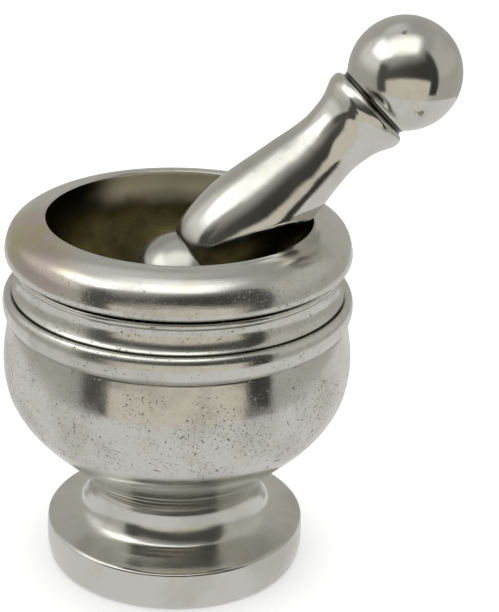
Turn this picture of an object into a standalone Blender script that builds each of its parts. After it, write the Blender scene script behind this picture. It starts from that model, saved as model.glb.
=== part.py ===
"""Nickel-plated mortar and pestle, two turned castings, built at rest with the pestle in the bowl.

Metres, +Z up. The mortar's axis is the world Z axis and its flat base stands on z = 0.
"""

import math

import bpy

MM = 0.001
COLLECTION = "mortar_and_pestle"

# Mortar, in millimetres.
MOUTH_R = 38.5
HEIGHT = 108.6
RIM_CENTRE_R = 42.6
RIM_CENTRE_Z = 101.6
RIM_HALF_W = 7.45
RIM_RISE = 6.6
RIM_DROP = 5.2
UNDERCUT_R = 44.8
UNDERCUT_Z = 95.9
FILLET_R = 47.4
FILLET_TOP_Z = 95.9
FILLET_BOTTOM_Z = 94.6
COVE_R = 46.7
COVE_TOP_Z = 92.8
COVE_Z = 90.8
GROOVE_R = 48.5
GROOVE_Z = 88.0
BEAD_R = 51.3
BEAD_Z = 83.8
STEP_R = 49.75
STEP_Z = 78.9
BOWL_PROFILE = (
    (50.9, 71.2),
    (51.4, 65.0),
    (50.9, 58.8),
    (48.2, 51.0),
    (43.2, 43.9),
    (37.6, 38.3),
)
STEM_TOP = (32.0, 33.1)
STEM_RINGS = (
    (31.1, 32.3),
    (30.9, 31.0),
    (29.5, 29.4),
    (28.9, 29.1),
    (28.4, 27.4),
    (27.7, 27.0),
    (26.6, 25.5),
)
STEM_FOOT = (26.0, 25.2)
FLARE_PROFILE = (
    (26.4, 21.3),
    (26.8, 19.4),
    (27.6, 17.4),
    (29.0, 15.6),
    (31.1, 14.2),
    (33.7, 13.2),
)
FOOT_R = 38.9
FOOT_TOP_Z = 11.6
FOOT_BULGE_R = 39.2
BASE_R = 37.9
BASE_CHAMFER = 0.8
CAVITY_R = 39.6
CAVITY_WIDEST_Z = 103.0
FLOOR_Z = 75.2
MORTAR_STEPS = 48

# Pestle, in millimetres. Distances run from the centre of the knob towards the grinding ball.
KNOB_R = 16.45
KNOB_NECK_R = 12.35
KNOB_GROOVE_R = 11.6
KNOB_GROOVE_AT = 13.0
COLLAR_R = 13.4
COLLAR_AT = 15.3
SHAFT_PROFILE = (
    (12.6, 18.2),
    (11.2, 21.3),
    (10.4, 25.4),
    (10.15, 29.5),
    (10.6, 34.1),
    (11.65, 40.4),
    (12.5, 46.2),
    (13.5, 52.6),
    (14.35, 58.6),
    (14.55, 62.6),
    (14.3, 68.0),
    (13.5, 74.0),
    (12.3, 77.4),
)
BALL_GROOVE_R = 11.0
BALL_GROOVE_AT = 79.0
BALL_R = 14.5
KNOB_TO_BALL = 87.6
PESTLE_STEPS = 36

# Where the pestle rests: centre of its ball, and the way its shaft leans.
BALL_CENTRE = (0.64, -5.1, 90.3)
LEAN_HEADING_DEG = 10.5
LEAN_ELEVATION_DEG = 43.4

NICKEL = (0.62, 0.59, 0.54, 1.0)
PESTLE_NICKEL = (0.66, 0.63, 0.58, 1.0)


def clear_scene():
    for thing in list(bpy.data.objects):
        bpy.data.objects.remove(thing, do_unlink=True)


def own_collection(name):
    made = bpy.data.collections.new(name)
    bpy.context.scene.collection.children.link(made)
    return made


def metal(name, colour, roughness):
    made = bpy.data.materials.new(name)
    made.use_nodes = True
    shader = made.node_tree.nodes["Principled BSDF"]
    shader.inputs["Base Color"].default_value = colour
    shader.inputs["Metallic"].default_value = 1.0
    shader.inputs["Roughness"].default_value = roughness
    return made


def ellipse_arc(centre_r, centre_z, half_w, half_h, start_deg, end_deg, count):
    points = []
    for i in range(count):
        turn = math.radians(start_deg + (end_deg - start_deg) * i / (count - 1))
        r = centre_r + half_w * math.cos(turn)
        z = centre_z + half_h * math.sin(turn)
        points.append((r, z))
    return points


def bent_line(start, pull, end, count):
    """Points of a quadratic curve from start to end, leaving out start."""
    points = []
    for i in range(1, count + 1):
        t = i / count
        a = (1 - t) * (1 - t)
        b = 2 * t * (1 - t)
        c = t * t
        r = a * start[0] + b * pull[0] + c * end[0]
        z = a * start[1] + b * pull[1] + c * end[1]
        points.append((r, z))
    return points


def smoothed(points):
    """The same points with one more between each two neighbours, on a smooth curve through them."""
    out = [points[0]]
    last = len(points) - 1
    for i in range(last):
        before = points[max(i - 1, 0)]
        start = points[i]
        end = points[i + 1]
        after = points[min(i + 2, last)]
        r = (9 * (start[0] + end[0]) - before[0] - after[0]) / 16
        z = (9 * (start[1] + end[1]) - before[1] - after[1]) / 16
        out.append((r, z))
        out.append(end)
    return out


def cavity_points():
    """From the middle of the floor up the wall to the mouth."""
    depth = CAVITY_WIDEST_Z - FLOOR_Z
    points = ellipse_arc(0.0, CAVITY_WIDEST_Z, CAVITY_R, depth, -90, 0, 10)
    points[0] = (0.0, FLOOR_Z)
    points.append((MOUTH_R + 0.45, HEIGHT - 2.2))
    points.append((MOUTH_R, HEIGHT))
    return points


def rim_points():
    """From the mouth's edge over the roll to its underside, which is flatter than its top."""
    upper = ellipse_arc(RIM_CENTRE_R, RIM_CENTRE_Z, RIM_HALF_W, RIM_RISE, 100, 0, 7)
    under = ellipse_arc(RIM_CENTRE_R, RIM_CENTRE_Z, RIM_HALF_W, RIM_DROP, 0, -66, 5)
    return upper + under[1:]


def neck_points():
    return [
        (UNDERCUT_R, UNDERCUT_Z),
        (FILLET_R, FILLET_TOP_Z),
        (FILLET_R, FILLET_BOTTOM_Z),
        (COVE_R, COVE_TOP_Z),
        (COVE_R, COVE_Z),
        (GROOVE_R - 0.5, GROOVE_Z + 0.6),
        (GROOVE_R, GROOVE_Z),
    ]


def shoulder_points():
    start = (GROOVE_R + 0.4, GROOVE_Z)
    end = (STEP_R, STEP_Z)
    pull = (
        2 * BEAD_R - 0.5 * (start[0] + end[0]),
        2 * BEAD_Z - 0.5 * (start[1] + end[1]),
    )
    return [start] + bent_line(start, pull, end, 5)


def bowl_points():
    outline = [(STEP_R, STEP_Z)] + list(BOWL_PROFILE) + [STEM_TOP]
    return smoothed(outline)[1:]


def stem_points():
    """Three thin rings, each stepping in below the one above."""
    return list(STEM_RINGS)


def foot_points():
    points = [STEM_FOOT] + list(FLARE_PROFILE)
    points.append((FOOT_R - 0.6, FOOT_TOP_Z + 0.3))
    points.append((FOOT_R, FOOT_TOP_Z - 0.5))
    points.append((FOOT_BULGE_R, FOOT_TOP_Z * 0.5))
    points.append((BASE_R + BASE_CHAMFER * 0.6, BASE_CHAMFER))
    points.append((BASE_R, 0.0))
    points.append((0.0, 0.0))
    return points


def mortar_profile():
    return (
        cavity_points()
        + rim_points()
        + neck_points()
        + shoulder_points()
        + bowl_points()
        + stem_points()
        + foot_points()
    )


def along_pestle(radius, distance):
    """A profile point whose height is measured from the centre of the grinding ball."""
    return (radius, KNOB_TO_BALL - distance)


def knob_points():
    """From the top pole down to the groove under the knob."""
    lowest = -math.degrees(math.acos(KNOB_NECK_R / KNOB_R))
    points = ellipse_arc(0.0, KNOB_TO_BALL, KNOB_R, KNOB_R, 90, lowest, 11)
    points[0] = (0.0, KNOB_TO_BALL + KNOB_R)
    points.append(along_pestle(KNOB_NECK_R, KNOB_GROOVE_AT - 0.6))
    points.append(along_pestle(KNOB_GROOVE_R, KNOB_GROOVE_AT))
    return points


def shaft_points():
    points = [
        along_pestle(COLLAR_R - 0.3, COLLAR_AT - 1.4),
        along_pestle(COLLAR_R, COLLAR_AT),
        along_pestle(COLLAR_R - 0.1, COLLAR_AT + 1.2),
    ]
    for radius, distance in SHAFT_PROFILE:
        points.append(along_pestle(radius, distance))
    points.append(along_pestle(BALL_GROOVE_R, BALL_GROOVE_AT))
    return points


def ball_points():
    """From just under the lower groove down to the bottom pole."""
    ball_top = math.degrees(math.acos((BALL_GROOVE_R + 0.5) / BALL_R))
    points = ellipse_arc(0.0, 0.0, BALL_R, BALL_R, ball_top, -90, 10)
    points[-1] = (0.0, -BALL_R)
    return points


def pestle_profile():
    return knob_points() + shaft_points() + ball_points()


def turned(name, profile, steps, material, collection):
    """One closed body made by turning a profile about the object's own Z axis."""
    mesh = bpy.data.meshes.new(name)
    points = [(r * MM, 0.0, z * MM) for r, z in profile]
    edges = [(i, i + 1) for i in range(len(points) - 1)]
    mesh.from_pydata(points, edges, [])
    mesh.update()
    body = bpy.data.objects.new(name, mesh)
    collection.objects.link(body)
    mesh.materials.append(material)
    lathe = body.modifiers.new("lathe", "SCREW")
    lathe.axis = "Z"
    lathe.angle = math.radians(360)
    lathe.screw_offset = 0.0
    lathe.steps = steps
    lathe.render_steps = steps
    lathe.use_merge_vertices = True
    lathe.merge_threshold = 0.00001
    lathe.use_smooth_shade = True
    return body


def rest_pestle(pestle):
    x, y, z = BALL_CENTRE
    pestle.location = (x * MM, y * MM, z * MM)
    tilt = math.radians(90 - LEAN_ELEVATION_DEG)
    heading = math.radians(LEAN_HEADING_DEG)
    pestle.rotation_euler = (0.0, tilt, heading)


def main():
    clear_scene()
    collection = own_collection(COLLECTION)
    mortar_metal = metal("mortar_metal", NICKEL, 0.18)
    pestle_metal = metal("pestle_metal", PESTLE_NICKEL, 0.12)
    turned("mortar", mortar_profile(), MORTAR_STEPS, mortar_metal, collection)
    pestle = turned("pestle", pestle_profile(), PESTLE_STEPS, pestle_metal, collection)
    rest_pestle(pestle)


main()
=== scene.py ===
"""Nickel-plated footed mortar with its pestle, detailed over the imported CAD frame."""

import math

import bpy
import numpy as np
from mathutils import Matrix, Vector


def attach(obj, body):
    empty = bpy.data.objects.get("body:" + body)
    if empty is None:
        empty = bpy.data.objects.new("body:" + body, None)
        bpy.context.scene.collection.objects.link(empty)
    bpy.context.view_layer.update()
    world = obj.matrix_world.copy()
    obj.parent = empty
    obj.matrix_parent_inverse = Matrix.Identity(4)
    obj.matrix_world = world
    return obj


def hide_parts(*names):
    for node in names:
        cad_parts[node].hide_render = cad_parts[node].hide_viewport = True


MM = 0.001

# ---------------------------------------------------------------- frame

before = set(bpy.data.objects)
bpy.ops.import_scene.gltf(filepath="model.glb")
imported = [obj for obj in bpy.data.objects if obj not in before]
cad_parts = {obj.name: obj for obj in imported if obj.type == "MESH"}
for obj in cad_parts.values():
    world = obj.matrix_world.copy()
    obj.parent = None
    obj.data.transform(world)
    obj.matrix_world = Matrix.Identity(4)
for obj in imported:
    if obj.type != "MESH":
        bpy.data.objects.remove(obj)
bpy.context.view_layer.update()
scene = bpy.context.scene

# The pestle's resting place, as in part.py.
BALL_CENTRE = Vector((0.64, -5.1, 90.3)) * MM
LEAN_HEADING = math.radians(10.5)
LEAN_TILT = math.radians(90 - 43.4)
KNOB_TO_BALL = 87.6


# ---------------------------------------------------------------- profiles
# Every profile is a list of (radius, height) in millimetres.

CAVITY_RADIUS = 39.6
CAVITY_WIDEST = 103.0
CAVITY_FLOOR = 75.2
KNOB_RADIUS = 16.45
KNOB_NECK = 12.3
BALL_RADIUS = 14.5
BALL_NECK = 11.4


def arc(centre_z, half_w, half_h, start_deg, end_deg, count):
    """Part of an ellipse centred on the axis."""
    turns = np.radians(np.linspace(start_deg, end_deg, count))
    return [(half_w * math.cos(t), centre_z + half_h * math.sin(t)) for t in turns]


def curve(points, per_span=8):
    """A centripetal Catmull-Rom curve through the points."""
    pts = [np.array(p, float) for p in points]
    pts = [2 * pts[0] - pts[1]] + pts + [2 * pts[-1] - pts[-2]]
    out = []
    for p0, p1, p2, p3 in zip(pts, pts[1:], pts[2:], pts[3:]):
        t0 = 0.0
        t1 = t0 + max(np.linalg.norm(p1 - p0), 1e-6) ** 0.5
        t2 = t1 + max(np.linalg.norm(p2 - p1), 1e-6) ** 0.5
        t3 = t2 + max(np.linalg.norm(p3 - p2), 1e-6) ** 0.5
        for t in np.linspace(t1, t2, per_span, endpoint=False):
            a1 = (t1 - t) / (t1 - t0) * p0 + (t - t0) / (t1 - t0) * p1
            a2 = (t2 - t) / (t2 - t1) * p1 + (t - t1) / (t2 - t1) * p2
            a3 = (t3 - t) / (t3 - t2) * p2 + (t - t2) / (t3 - t2) * p3
            b1 = (t2 - t) / (t2 - t0) * a1 + (t - t0) / (t2 - t0) * a2
            b2 = (t3 - t) / (t3 - t1) * a2 + (t - t1) / (t3 - t1) * a3
            c = (t2 - t) / (t2 - t1) * b1 + (t - t1) / (t2 - t1) * b2
            out.append((float(c[0]), float(c[1])))
    out.append(tuple(float(x) for x in points[-1]))
    return out


def cavity_profile():
    """The inside of the bowl: half an ellipse from its floor, then the lip's inner slope."""
    wall = arc(CAVITY_WIDEST, CAVITY_RADIUS, CAVITY_WIDEST - CAVITY_FLOOR, -90, -2, 90)
    wall[0] = (0.0, CAVITY_FLOOR)
    lip = curve(
        [(CAVITY_RADIUS, 103.9), (39.35, 105.2), (38.95, 106.6), (38.55, 107.7), (38.5, 108.2)], 4
    )
    return wall + lip


def rim_profile():
    inner_ring = curve([(38.62, 108.5), (38.95, 108.66), (39.9, 108.55), (40.5, 108.4)], 4)
    roll = curve(
        [
            (41.4, 108.42),
            (42.8, 108.2),
            (44.6, 107.65),
            (46.3, 106.7),
            (47.8, 105.6),
            (48.85, 104.4),
            (49.65, 102.8),
            (50.15, 101.1),
            (50.4, 99.7),
            (50.4, 98.5),
            (50.1, 97.5),
            (49.35, 96.8),
            (47.7, 96.35),
            (45.8, 96.15),
        ],
        8,
    )
    return inner_ring + roll


def neck_profile():
    slot = curve([(44.4, 96.05), (43.4, 95.7), (43.4, 95.3), (44.1, 94.95), (45.5, 94.85)], 5)
    fillet = curve([(46.8, 95.1), (47.35, 95.05), (47.6, 94.65), (47.6, 94.0), (47.4, 93.5)], 5)
    ridge = curve([(47.12, 93.3), (47.2, 93.1), (47.15, 92.7)], 4)
    cove = curve(
        [
            (47.0, 92.2),
            (46.9, 91.2),
            (46.95, 90.0),
            (47.15, 89.0),
            (47.45, 88.1),
            (47.9, 87.3),
            (48.45, 86.7),
        ],
        8,
    )
    return slot + fillet + ridge + cove


def shoulder_profile():
    groove = curve([(48.5, 86.5), (48.2, 86.3), (48.25, 86.1), (48.6, 86.0)], 4)
    bead = curve(
        [
            (49.0, 86.2),
            (49.5, 86.38),
            (50.1, 86.22),
            (50.65, 85.7),
            (51.05, 84.9),
            (51.28, 83.6),
            (51.25, 82.0),
            (50.9, 80.5),
            (50.35, 79.4),
            (49.95, 78.85),
        ],
        8,
    )
    step = [(49.72, 78.6), (49.62, 78.35), (49.66, 78.1)]
    return groove + bead + step


def bowl_profile():
    return curve(
        [
            (49.75, 77.9),
            (50.35, 75.0),
            (50.95, 71.2),
            (51.4, 67.0),
            (51.35, 62.6),
            (50.9, 58.8),
            (49.9, 54.8),
            (48.2, 51.0),
            (45.9, 47.3),
            (43.2, 43.9),
            (40.3, 40.9),
            (37.6, 38.3),
            (35.2, 36.0),
            (33.3, 34.2),
            (32.0, 33.1),
        ],
        8,
    )


def stem_profile():
    """The cone between the bowl and the foot, scored by three thin lines."""
    upper = curve([(31.9, 33.0), (30.9, 31.7), (30.0, 30.6)], 5)
    middle = curve([(29.75, 30.25), (29.0, 29.3), (28.3, 28.4)], 5)
    lower = curve([(28.05, 28.05), (27.3, 27.0), (26.75, 25.9)], 5)
    return (
        upper
        + [(29.83, 30.5), (29.8, 30.38)]
        + middle
        + [(28.13, 28.3), (28.1, 28.18)]
        + lower
        + [(26.6, 25.75), (26.57, 25.62)]
    )


def foot_profile():
    flare = curve(
        [
            (26.45, 25.2),
            (26.2, 24.0),
            (26.12, 22.6),
            (26.2, 21.0),
            (26.5, 19.5),
            (27.0, 18.0),
            (27.7, 16.5),
            (28.7, 15.2),
            (30.1, 14.2),
            (31.9, 13.45),
            (34.2, 12.85),
            (36.5, 12.38),
            (38.1, 12.05),
        ],
        8,
    )
    edge = curve([(38.4, 11.85), (38.75, 11.6), (38.95, 11.2), (39.02, 10.7)], 5)
    side = curve([(39.1, 9.5), (39.2, 6.5), (39.05, 3.4), (38.75, 1.4)], 8)
    bottom = curve([(38.6, 0.8), (38.3, 0.3), (37.9, 0.0)], 5)
    return flare + edge + side + bottom


def pestle_profile():
    """Heights from the centre of the grinding ball, from the knob's pole down."""
    top = KNOB_TO_BALL
    knob_end = -math.degrees(math.acos(KNOB_NECK / KNOB_RADIUS))
    knob = arc(top, KNOB_RADIUS, KNOB_RADIUS, 90, knob_end, 90)
    knob[0] = (0.0, top + KNOB_RADIUS)
    notch = curve(
        [(11.9, top - 11.5), (11.55, top - 12.2), (11.5, top - 12.8), (12.1, top - 13.2)], 5
    )
    shaft = curve(
        [
            (12.75, top - 13.45),
            (13.25, top - 14.1),
            (13.42, top - 15.2),
            (13.3, top - 16.5),
            (12.6, top - 18.2),
            (11.65, top - 20.2),
            (10.95, top - 22.4),
            (10.45, top - 25.4),
            (10.15, top - 29.5),
            (10.6, top - 34.1),
            (11.1, top - 37.3),
            (11.65, top - 40.4),
            (12.5, top - 46.2),
            (13.5, top - 52.6),
            (14.3, top - 58.6),
            (14.5, top - 62.6),
            (14.3, top - 68.0),
            (13.5, top - 74.0),
            (12.7, top - 76.6),
            (11.9, top - 78.3),
            (11.3, top - 79.0),
        ],
        10,
    )
    ball_start = math.degrees(math.acos(BALL_NECK / BALL_RADIUS))
    ball = arc(0.0, BALL_RADIUS, BALL_RADIUS, ball_start, -90, 80)
    ball[-1] = (0.0, -BALL_RADIUS)
    return knob + notch + shaft + [(10.95, top - 79.15)] + ball


# ---------------------------------------------------------------- meshes


def lathe(name, profile, segments, wobble):
    """One closed turned mesh, its radius uneven by up to wobble millimetres. The profile starts
    and ends on the axis, where fans close it."""
    profile = np.array(profile, float)
    rings = profile[1:-1]
    turn = np.linspace(0, 2 * math.pi, segments, endpoint=False)
    z = rings[:, 1][:, None] * np.ones(segments)[None]
    r = rings[:, 0][:, None] + wobble * hand_finish(turn[None], z)
    body = np.stack([r * np.cos(turn), r * np.sin(turn), z], -1).reshape(-1, 3)
    poles = np.array([(0, 0, profile[0, 1]), (0, 0, profile[-1, 1])], float)
    verts = np.concatenate([body, poles]) * MM
    count = len(rings)
    first, last = len(body), len(body) + 1
    faces = [(first, (j + 1) % segments, j)[::-1] for j in range(segments)]
    for i in range(count - 1):
        a = i * segments
        b = a + segments
        for j in range(segments):
            k = (j + 1) % segments
            faces.append((a + j, b + j, b + k, a + k))
    end = (count - 1) * segments
    faces += [(last, end + (j + 1) % segments, end + j) for j in range(segments)]
    mesh = bpy.data.meshes.new(name)
    mesh.from_pydata(verts.tolist(), [], faces)
    mesh.polygons.foreach_set("use_smooth", [True] * len(mesh.polygons))
    mesh.update()
    made = bpy.data.objects.new(name, mesh)
    scene.collection.objects.link(made)
    return made


def hand_finish(turn, z):
    """Low, wide unevenness that polishing by hand leaves, between -1 and 1."""
    return (
        0.45 * np.sin(3 * turn + 0.11 * z + 0.4)
        + 0.35 * np.sin(7 * turn - 0.19 * z + 2.1)
        + 0.20 * np.sin(13 * turn + 0.31 * z + 4.0)
    )


# ---------------------------------------------------------------- node helpers


class Tree:
    """Short names for the shader nodes used below."""

    def __init__(self, nodes, links):
        self.nodes = nodes
        self.links = links

    def join(self, value, socket):
        if hasattr(value, "is_output"):
            self.links.new(value, socket)
        else:
            socket.default_value = value

    def math(self, operation, *values):
        made = self.nodes.new("ShaderNodeMath")
        made.operation = operation
        for value, socket in zip(values, made.inputs):
            self.join(value, socket)
        return made.outputs[0]

    def ramp(self, value, low, high, out_low=0.0, out_high=1.0):
        """A smooth step from out_low to out_high while value goes from low to high."""
        made = self.nodes.new("ShaderNodeMapRange")
        made.interpolation_type = "SMOOTHSTEP"
        for index, number in enumerate((value, low, high, out_low, out_high)):
            self.join(number, made.inputs[index])
        return made.outputs[0]

    def band(self, value, low, high, soft_low, soft_high=None):
        """1 between low and high, falling to 0 over soft on each side."""
        soft_high = soft_low if soft_high is None else soft_high
        rise = self.ramp(value, low - soft_low, low + soft_low)
        fall = self.ramp(value, high - soft_high, high + soft_high, 1.0, 0.0)
        return self.math("MULTIPLY", rise, fall)

    def blend(self, share, first, second):
        made = self.nodes.new("ShaderNodeMix")
        made.data_type = "RGBA"
        self.join(share, made.inputs["Factor"])
        self.join(first, made.inputs["A"])
        self.join(second, made.inputs["B"])
        return made.outputs["Result"]

    def noise(self, where, scale, detail=3.0, rough=0.55, distortion=0.0):
        made = self.nodes.new("ShaderNodeTexNoise")
        self.join(where, made.inputs["Vector"])
        made.inputs["Scale"].default_value = scale
        made.inputs["Detail"].default_value = detail
        made.inputs["Roughness"].default_value = rough
        made.inputs["Distortion"].default_value = distortion
        return made.outputs

    def split(self, vector):
        made = self.nodes.new("ShaderNodeSeparateXYZ")
        self.join(vector, made.inputs[0])
        return made.outputs

    def scaled(self, vector, factor):
        made = self.nodes.new("ShaderNodeVectorMath")
        made.operation = "SCALE"
        self.join(vector, made.inputs[0])
        self.join(factor, made.inputs["Scale"])
        return made.outputs[0]

    def distance(self, first, second):
        made = self.nodes.new("ShaderNodeVectorMath")
        made.operation = "DISTANCE"
        self.join(first, made.inputs[0])
        self.join(second, made.inputs[1])
        return made.outputs["Value"]

    def bump(self, height, distance, under=None):
        made = self.nodes.new("ShaderNodeBump")
        self.join(height, made.inputs["Height"])
        made.inputs["Distance"].default_value = distance
        made.inputs["Strength"].default_value = 1.0
        if under is not None:
            self.join(under, made.inputs["Normal"])
        return made.outputs[0]


def new_material(name):
    made = bpy.data.materials.new(name)
    made.use_nodes = True
    tree = Tree(made.node_tree.nodes, made.node_tree.links)
    shader = made.node_tree.nodes["Principled BSDF"]
    shader.inputs["Metallic"].default_value = 1.0
    return made, tree, shader


def own_place(tree):
    """Object coordinates in millimetres."""
    coords = tree.nodes.new("ShaderNodeTexCoord")
    return tree.scaled(coords.outputs["Object"], 1 / MM)


def pestle_place(tree):
    """Millimetres from the ball's centre, with Z along the pestle's shaft."""
    coords = tree.nodes.new("ShaderNodeTexCoord")
    turned = tree.nodes.new("ShaderNodeMapping")
    turned.vector_type = "TEXTURE"
    turned.inputs["Location"].default_value = BALL_CENTRE
    turned.inputs["Rotation"].default_value = (0.0, LEAN_TILT, LEAN_HEADING)
    tree.join(coords.outputs["Object"], turned.inputs["Vector"])
    return tree.scaled(turned.outputs[0], 1 / MM)


# ---------------------------------------------------------------- materials

NICKEL = (0.665, 0.655, 0.615, 1.0)
NICKEL_DULL = (0.55, 0.54, 0.49, 1.0)
NICKEL_WARM = (0.62, 0.59, 0.50, 1.0)
GRIME = (0.19, 0.17, 0.135, 1.0)
# Painted shade: the near-black colour laid into the turned grooves.
GROOVE_SHADE_DARK = (0.03, 0.027, 0.02, 1.0)
BALL_WORN = (0.40, 0.39, 0.35, 1.0)
# Painted highlight: the pale colour of the far lip inside the bowl.
BRASS_LIT_LIP = (0.92, 0.86, 0.66, 1.0)
BRASS_INSIDE = (0.125, 0.110, 0.048, 1.0)
BRASS_DARK = (0.055, 0.049, 0.021, 1.0)
BRASS_GRAZING = (0.42, 0.38, 0.18, 1.0)
TARNISH_STRAW = (0.54, 0.48, 0.31, 1.0)
TARNISH_ROSE = (0.57, 0.48, 0.44, 1.0)

MARKS_PER_MM = 2.7
# Depths of relief, in millimetres.
SPECKLE_DEPTH = 0.02
PIT_DEPTH = 0.12
BRASS_MARK_DEPTH = 0.006
BRASS_GRAIN_DEPTH = 0.03


def turning_marks(tree, height, noise):
    """Fine rings left by the lathe, about three to a millimetre and slightly wavy."""
    wander = tree.math("MULTIPLY", noise, 0.6)
    phase = tree.math("MULTIPLY", tree.math("ADD", height, wander), 2 * math.pi * MARKS_PER_MM)
    return tree.math("SINE", phase)


def pitting(tree, place, scale, rarest, commonest, density):
    """0 in the casting pits and 1 elsewhere: islands of a noise, more where density is high."""
    level = tree.noise(place, scale, 2.0, 0.5, 0.6)["Fac"]
    edge = tree.math("SUBTRACT", rarest, tree.math("MULTIPLY", density, rarest - commonest))
    above = tree.math("SUBTRACT", level, edge)
    return tree.ramp(above, 0.0, 0.03, 1.0, 0.0)


def painted_groove_shade(tree, place, recesses):
    """Painted shade: near 1 in the turned grooves listed, which are darkened almost to black, and
    0 elsewhere.
    """
    x, y, z = tree.split(place)[:3]
    across = tree.math("ADD", tree.math("MULTIPLY", x, x), tree.math("MULTIPLY", y, y))
    radius = tree.math("SQRT", across)
    total = 0.0
    for height, half, edge in recesses:
        near = tree.band(z, height - half, height + half, 0.12)
        deep = tree.ramp(radius, edge, edge - 0.35)
        total = tree.math("MAXIMUM", total, tree.math("MULTIPLY", near, deep))
    return tree.math("MULTIPLY", total, 0.93)


def nickel_coat(name, place_of, rough_low, rough_high, mark_depth, pit_density, recesses):
    """Aged nickel plate: mottled and finely turned, with dark pits where pit_density is high."""
    made, tree, shader = new_material(name)
    place = place_of(tree)
    height = tree.split(place)[2]
    cloud = tree.noise(place, 0.045, 4.0, 0.6)["Fac"]
    speckle = tree.noise(place, 0.55, 4.0, 0.65)["Fac"]
    density = pit_density(tree, place)
    fine_pits = pitting(tree, place, 1.7, 0.80, 0.645, density)
    large_pits = pitting(tree, place, 0.60, 0.82, 0.700, density)
    clean = tree.math("MULTIPLY", fine_pits, large_pits)
    groove_shade = painted_groove_shade(tree, place, recesses)

    colour = tree.blend(tree.ramp(cloud, 0.44, 0.70), NICKEL, NICKEL_DULL)
    warm = tree.ramp(tree.noise(place, 0.10, 3.0, 0.6, 0.8)["Fac"], 0.52, 0.72, 0.0, 0.6)
    colour = tree.blend(warm, colour, NICKEL_WARM)
    freckle = tree.ramp(speckle, 0.52, 0.70, 0.0, 0.6)
    colour = tree.blend(tree.math("MULTIPLY", freckle, density), colour, NICKEL_DULL)
    colour = tree.blend(tree.ramp(clean, 0.1, 0.9, 0.72, 0.0), colour, GRIME)
    # Painted shade darkens the turned grooves almost to black.
    colour = tree.blend(groove_shade, colour, GROOVE_SHADE_DARK)
    tree.join(colour, shader.inputs["Base Color"])

    rough = tree.ramp(cloud, 0.35, 0.65, rough_low, rough_high)
    rough = tree.math("ADD", rough, tree.ramp(speckle, 0.5, 0.8, 0.0, 0.05))
    rough = tree.math("ADD", rough, tree.ramp(clean, 0.0, 1.0, 0.3, 0.0))
    rough = tree.math("ADD", rough, tree.math("MULTIPLY", density, 0.05))
    tree.join(rough, shader.inputs["Roughness"])

    marks = turning_marks(tree, height, cloud)
    normal = tree.bump(marks, mark_depth * MM)
    normal = tree.bump(speckle, SPECKLE_DEPTH * MM, normal)
    normal = tree.bump(clean, PIT_DEPTH * MM, normal)
    tree.join(normal, shader.inputs["Normal"])
    return made, tree, shader, place, colour, rough


def mortar_pits(tree, place):
    """Thickest round the bowl, a little less on the rim and bead, few on the stem and foot."""
    height = tree.split(place)[2]
    bowl = tree.band(height, 43.0, 77.0, 5.0, 4.0)
    trim = tree.band(height, 79.0, 106.0, 3.0)
    patch = tree.ramp(tree.noise(place, 0.09, 3.0)["Fac"], 0.36, 0.56, 0.62, 1.0)
    amount = tree.math("ADD", bowl, tree.math("MULTIPLY", trim, 0.86))
    amount = tree.math("ADD", amount, 0.15)
    return tree.math("MULTIPLY", amount, patch)


def pestle_pits(tree, place):
    """Few, in loose clusters."""
    return tree.ramp(tree.noise(place, 0.07, 2.0)["Fac"], 0.42, 0.65, 0.05, 0.5)


def tarnish(tree, shader, place, colour):
    """Straw and rose heat colours on the roll of the rim, at its left."""
    x, y, z = tree.split(place)[:3]
    side = tree.band(x, -60.0, -30.0, 9.0)
    front = tree.band(y, -46.0, 4.0, 9.0)
    high = tree.band(z, 99.5, 112.0, 2.5)
    where = tree.math("MULTIPLY", tree.math("MULTIPLY", side, front), high)
    cloud = tree.noise(place, 0.075, 2.0, 0.5)["Fac"]
    hue = tree.blend(tree.ramp(cloud, 0.45, 0.58), TARNISH_STRAW, TARNISH_ROSE)
    share = tree.math("MULTIPLY", where, tree.ramp(cloud, 0.34, 0.46, 0.35, 1.0))
    tree.join(tree.blend(share, colour, hue), shader.inputs["Base Color"])


def pestle_wear(tree, shader, place, colour, rough):
    """The grinding ball is duller and darker than the rest, and the knob has small stains."""
    worn = tree.ramp(tree.split(place)[2], 16.0, 11.0)
    share = tree.math("MULTIPLY", worn, 0.70)
    colour = tree.blend(share, colour, BALL_WORN)
    ragged = tree.noise(place, 0.9, 3.0)["Fac"]
    for centre, radius in KNOB_STAINS:
        stretch = tree.ramp(ragged, 0.35, 0.65, 0.5, 2.0)
        away = tree.math("MULTIPLY", tree.distance(place, centre), stretch)
        colour = tree.blend(tree.ramp(away, radius, radius * 0.5, 0.0, 0.8), colour, GRIME)
    tree.join(colour, shader.inputs["Base Color"])
    rough = tree.math("ADD", rough, tree.math("MULTIPLY", worn, 0.10))
    tree.join(rough, shader.inputs["Roughness"])


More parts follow.
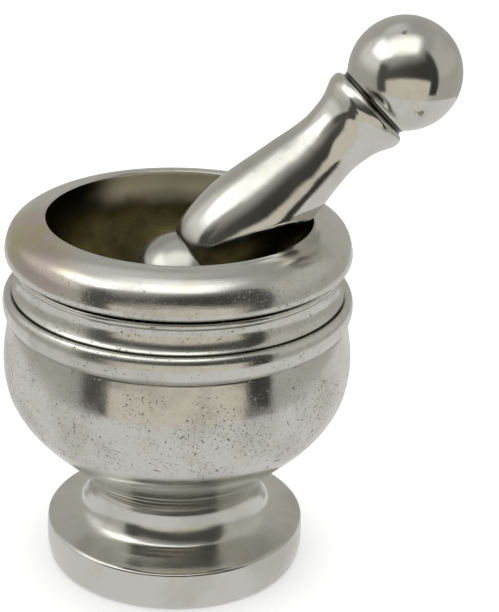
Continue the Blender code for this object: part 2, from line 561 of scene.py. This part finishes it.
def bare_brass():
    """The bowl's inside: dark olive brass with rings from the lathe, made paler at the back's lip
    by a painted highlight.
    """
    made, tree, shader = new_material("bowl_inside_brass")
    place = own_place(tree)
    side, depth, height = tree.split(place)[:3]
    cloud = tree.noise(place, 0.06, 4.0, 0.6)["Fac"]
    fine = tree.noise(place, 1.1, 3.0, 0.6)["Fac"]
    colour = tree.blend(tree.ramp(cloud, 0.35, 0.68), BRASS_INSIDE, BRASS_DARK)
    wander = tree.math("MULTIPLY", cloud, 6.0)
    # Painted highlight: a pale band along the top of the far inner wall.
    painted_lip_light = tree.ramp(tree.math("ADD", height, wander), 100.0, 107.0)
    back = tree.math("SUBTRACT", depth, tree.math("MULTIPLY", tree.math("ABSOLUTE", side), 0.75))
    painted_lip_light = tree.math("MULTIPLY", painted_lip_light, tree.ramp(back, 2.0, 24.0))
    colour = tree.blend(painted_lip_light, colour, BRASS_LIT_LIP)
    tree.join(colour, shader.inputs["Base Color"])
    rough = tree.ramp(cloud, 0.3, 0.7, 0.24, 0.36)
    rough = tree.math("ADD", rough, tree.math("MULTIPLY", painted_lip_light, 0.42))
    tree.join(rough, shader.inputs["Roughness"])
    shader.inputs["Specular Tint"].default_value = BRASS_GRAZING
    normal = tree.bump(turning_marks(tree, height, cloud), BRASS_MARK_DEPTH * MM)
    normal = tree.bump(fine, BRASS_GRAIN_DEPTH * MM, normal)
    tree.join(normal, shader.inputs["Normal"])
    return made


# Grooves darkened with painted shade: (height, half the width, radius at the lip).
MORTAR_RECESSES = ((95.55, 0.7, 47.0), (86.25, 0.3, 48.75), (78.4, 0.18, 49.85))
PESTLE_RECESSES = ((75.1, 0.75, 12.2), (8.45, 0.4, 11.6))
# Stains on the knob: (place in the pestle's own millimetres, radius).
KNOB_STAINS = (((5.8, -14.7, 82.9), 1.5), ((-12.6, -7.9, 94.6), 0.9))

mortar_nickel, *mortar_parts = nickel_coat(
    "mortar_nickel",
    own_place,
    rough_low=0.10,
    rough_high=0.19,
    mark_depth=0.0012,
    pit_density=mortar_pits,
    recesses=MORTAR_RECESSES,
)
tarnish(*mortar_parts[:4])
pestle_nickel, *pestle_parts = nickel_coat(
    "pestle_nickel",
    pestle_place,
    rough_low=0.07,
    rough_high=0.14,
    mark_depth=0.0008,
    pit_density=pestle_pits,
    recesses=PESTLE_RECESSES,
)
pestle_wear(*pestle_parts)

# ---------------------------------------------------------------- pieces

MORTAR_SEGMENTS = 384
PESTLE_SEGMENTS = 256
MORTAR_WOBBLE = 0.02
PESTLE_WOBBLE = 0.012

CAVITY = cavity_profile()
MORTAR_OUTSIDE = (
    rim_profile()
    + neck_profile()
    + shoulder_profile()
    + bowl_profile()
    + stem_profile()
    + foot_profile()
    + [(36.0, 0.0), (24.0, 0.0), (12.0, 0.0), (4.0, 0.0), (0.0, 0.0)]
)

mortar = lathe("mortar_body", CAVITY + MORTAR_OUTSIDE, MORTAR_SEGMENTS, MORTAR_WOBBLE)
mortar.data.materials.append(mortar_nickel)
mortar.data.materials.append(bare_brass())
# The faces start with the cavity's, which take the second material.
inside_faces = MORTAR_SEGMENTS * (len(CAVITY) - 1)
for face in mortar.data.polygons[:inside_faces]:
    face.material_index = 1

pestle = lathe("pestle_body", pestle_profile()[::-1], PESTLE_SEGMENTS, PESTLE_WOBBLE)
pestle.data.transform(
    Matrix.Translation(BALL_CENTRE)
    @ Matrix.Rotation(LEAN_HEADING, 4, "Z")
    @ Matrix.Rotation(LEAN_TILT, 4, "Y")
)
pestle.data.materials.append(pestle_nickel)

for piece, body in ((mortar, "mortar"), (pestle, "pestle")):
    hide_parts(body)
    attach(piece, body)

# ---------------------------------------------------------------- camera

LENS = 106.65
SENSOR_WIDTH = 36.0
CAMERA_PLACE = Vector((0.0, -0.4901, 0.2931))
CAMERA_HEADING = -2.45
CAMERA_DIP = 23.44
CAMERA_ROLL = 1.94

camera_data = bpy.data.cameras.new("camera")
camera_data.lens = LENS
camera_data.sensor_width = SENSOR_WIDTH
camera = bpy.data.objects.new("camera", camera_data)
scene.collection.objects.link(camera)
camera.matrix_world = (
    Matrix.Translation(CAMERA_PLACE)
    @ Matrix.Rotation(math.radians(CAMERA_HEADING), 4, "Z")
    @ Matrix.Rotation(math.radians(90 - CAMERA_DIP), 4, "X")
    @ Matrix.Rotation(math.radians(CAMERA_ROLL), 4, "Z")
)
scene.camera = camera

# ---------------------------------------------------------------- stage
# A white studio tent with a bright window on the left and a dark frame with two legs in front.

PAPER = (1.50, 1.50, 1.50, 1.0)
WALL = (0.47, 0.465, 0.43, 1.0)
WALL_HIGH = (0.42, 0.425, 0.41, 1.0)
CEILING_DIM = (0.66, 0.665, 0.65, 1.0)
LEFT_WALL = (0.84, 0.84, 0.81, 1.0)
RIGHT_WALL = (0.56, 0.555, 0.51, 1.0)
CEILING = (1.65, 1.65, 1.62, 1.0)
WINDOW = (2.0, 2.0, 1.96, 1.0)
CREAM_CARD = (0.71, 0.67, 0.585, 1.0)
FRAME_LEFT = (0.08, 0.077, 0.068, 1.0)
FRAME_RIGHT = (0.045, 0.043, 0.038, 1.0)

# How far round each card reaches, in degrees from straight in front, right positive.
RIGHT_WALL_SPAN = (62.0, 125.0)
LEFT_WALL_SPAN = (-125.0, -66.0)
CREAM_CARD_SPAN = (-52.0, 50.0)
FRAME_SPAN = (-56.0, 60.0)
LEFT_LEG_SPAN = (-63.0, -44.0)
RIGHT_LEG_SPAN = (44.0, 62.0)
# The window on the ceiling plane, one unit up: across and in depth, towards the front positive.
WINDOW_ACROSS = (-1.65, -0.70)
WINDOW_DEPTH = (-0.30, 0.75)


def studio_world():
    """The room seen in the metal. Everything but reflections sees plain white paper."""
    world = bpy.data.worlds.new("studio")
    world.use_nodes = True
    tree = Tree(world.node_tree.nodes, world.node_tree.links)
    coords = tree.nodes.new("ShaderNodeTexCoord")
    x, y, z = tree.split(coords.outputs["Generated"])[:3]
    forward = tree.math("MULTIPLY", y, -1.0)
    across = tree.math("MULTIPLY", tree.math("ARCTAN2", x, forward), 180 / math.pi)
    up = tree.math("MULTIPLY", tree.math("ARCSINE", z), 180 / math.pi)
    # Where the ray meets a flat ceiling one unit up.
    lifted = tree.math("MAXIMUM", z, 0.02)
    over_x = tree.math("DIVIDE", x, lifted)
    over_y = tree.math("DIVIDE", forward, lifted)

    def layer(colour, new, *shares):
        share = shares[0]
        for more in shares[1:]:
            share = tree.math("MULTIPLY", share, more)
        return tree.blend(share, colour, new)

    colour = tree.blend(tree.ramp(up, 20.0, 60.0), WALL, WALL_HIGH)
    right = tree.band(across, *RIGHT_WALL_SPAN, 10.0)
    colour = layer(colour, RIGHT_WALL, right, tree.band(up, 2.0, 46.0, 5.0, 10.0))
    left = tree.band(across, *LEFT_WALL_SPAN, 14.0, 6.0)
    colour = layer(colour, LEFT_WALL, left, tree.ramp(up, -3.0, 19.0))

    colour = layer(colour, CEILING_DIM, tree.ramp(up, 40.0, 56.0), tree.ramp(over_x, 0.25, -0.15))
    above = tree.ramp(up, 12.0, 24.0)
    in_depth = tree.math(
        "MULTIPLY", tree.ramp(over_y, -0.26, 0.16), tree.ramp(over_y, 0.95, 0.48)
    )
    in_width = tree.math(
        "MULTIPLY", tree.ramp(over_x, -1.0, -0.45), tree.ramp(over_x, 0.55, 0.22)
    )
    colour = layer(colour, CEILING, above, in_depth, in_width)
    pane = tree.math(
        "MULTIPLY",
        tree.band(over_x, *WINDOW_ACROSS, 0.40, 0.16),
        tree.band(over_y, *WINDOW_DEPTH, 0.20),
    )
    colour = layer(colour, WINDOW, above, pane)

    front = tree.band(across, *CREAM_CARD_SPAN, 8.0)
    colour = layer(colour, CREAM_CARD, front, tree.ramp(up, 6.5, 2.5))
    # The frame's top slopes down to the left, and its lower edge is a flat arch.
    dark = tree.blend(tree.ramp(across, -50.0, 30.0), FRAME_LEFT, FRAME_RIGHT)
    bar_up = tree.math("SUBTRACT", up, tree.math("MULTIPLY", across, 0.12))
    arch = tree.math("MULTIPLY", tree.math("MULTIPLY", across, across), 0.004)
    arched_up = tree.math("ADD", up, arch)
    bar_up = tree.math("ADD", bar_up, tree.ramp(across, 5.0, -50.0, 0.0, 11.0))
    bar_share = tree.math(
        "MULTIPLY", tree.ramp(arched_up, 1.5, 7.5), tree.ramp(bar_up, 56.0, 24.0)
    )
    bar = tree.band(across, *FRAME_SPAN, 4.0)
    colour = layer(colour, dark, bar, bar_share)
    left_leg = tree.band(across, *LEFT_LEG_SPAN, 1.5)
    colour = layer(colour, dark, left_leg, tree.ramp(up, 30.0, 20.0), tree.ramp(up, -28.0, -24.0))
    right_leg = tree.band(across, *RIGHT_LEG_SPAN, 1.5)
    colour = layer(colour, dark, right_leg, tree.ramp(up, 56.0, 38.0), tree.ramp(up, -30.0, -26.0))

    light = tree.nodes.new("ShaderNodeLightPath")
    seen = tree.blend(light.outputs["Is Glossy Ray"], PAPER, colour)
    tree.join(seen, world.node_tree.nodes["Background"].inputs["Color"])
    return world


def sheet(name, outline, z, colour):
    mesh = bpy.data.meshes.new(name)
    mesh.from_pydata([(x, y, z) for x, y in outline], [], [tuple(range(len(outline)))])
    made = bpy.data.objects.new(name, mesh)
    scene.collection.objects.link(made)
    paper = bpy.data.materials.new(name + "_paper")
    paper.use_nodes = True
    shader = paper.node_tree.nodes["Principled BSDF"]
    shader.inputs["Base Color"].default_value = colour
    shader.inputs["Roughness"].default_value = 0.9
    shader.inputs["Specular IOR Level"].default_value = 0.0
    mesh.materials.append(paper)
    return made


scene.world = studio_world()
scene.view_settings.view_transform = "Standard"

FLOOR_HALF = 4.0
FLOOR_Z = -0.0004
FLOOR_WHITE = (0.93, 0.93, 0.93, 1.0)
# The disc that the metal reflects. It stands a little back, and nothing else sees it.
TABLE_RADIUS = 0.31
TABLE_BACK = 0.10
TABLE_SIDES = 128
TABLE_Z = -0.0008
TABLE_GREY = (0.525, 0.525, 0.518, 1.0)

floor_outline = [
    (-FLOOR_HALF, -FLOOR_HALF),
    (FLOOR_HALF, -FLOOR_HALF),
    (FLOOR_HALF, FLOOR_HALF),
    (-FLOOR_HALF, FLOOR_HALF),
]
table_turns = [2 * math.pi * i / TABLE_SIDES for i in range(TABLE_SIDES)]
table_outline = [
    (TABLE_RADIUS * math.cos(t), TABLE_BACK + TABLE_RADIUS * math.sin(t)) for t in table_turns
]
floor = sheet("floor", floor_outline, FLOOR_Z, FLOOR_WHITE)
floor.visible_glossy = False
table = sheet("table", table_outline, TABLE_Z, TABLE_GREY)
table.visible_camera = False
table.visible_diffuse = False
table.visible_shadow = False
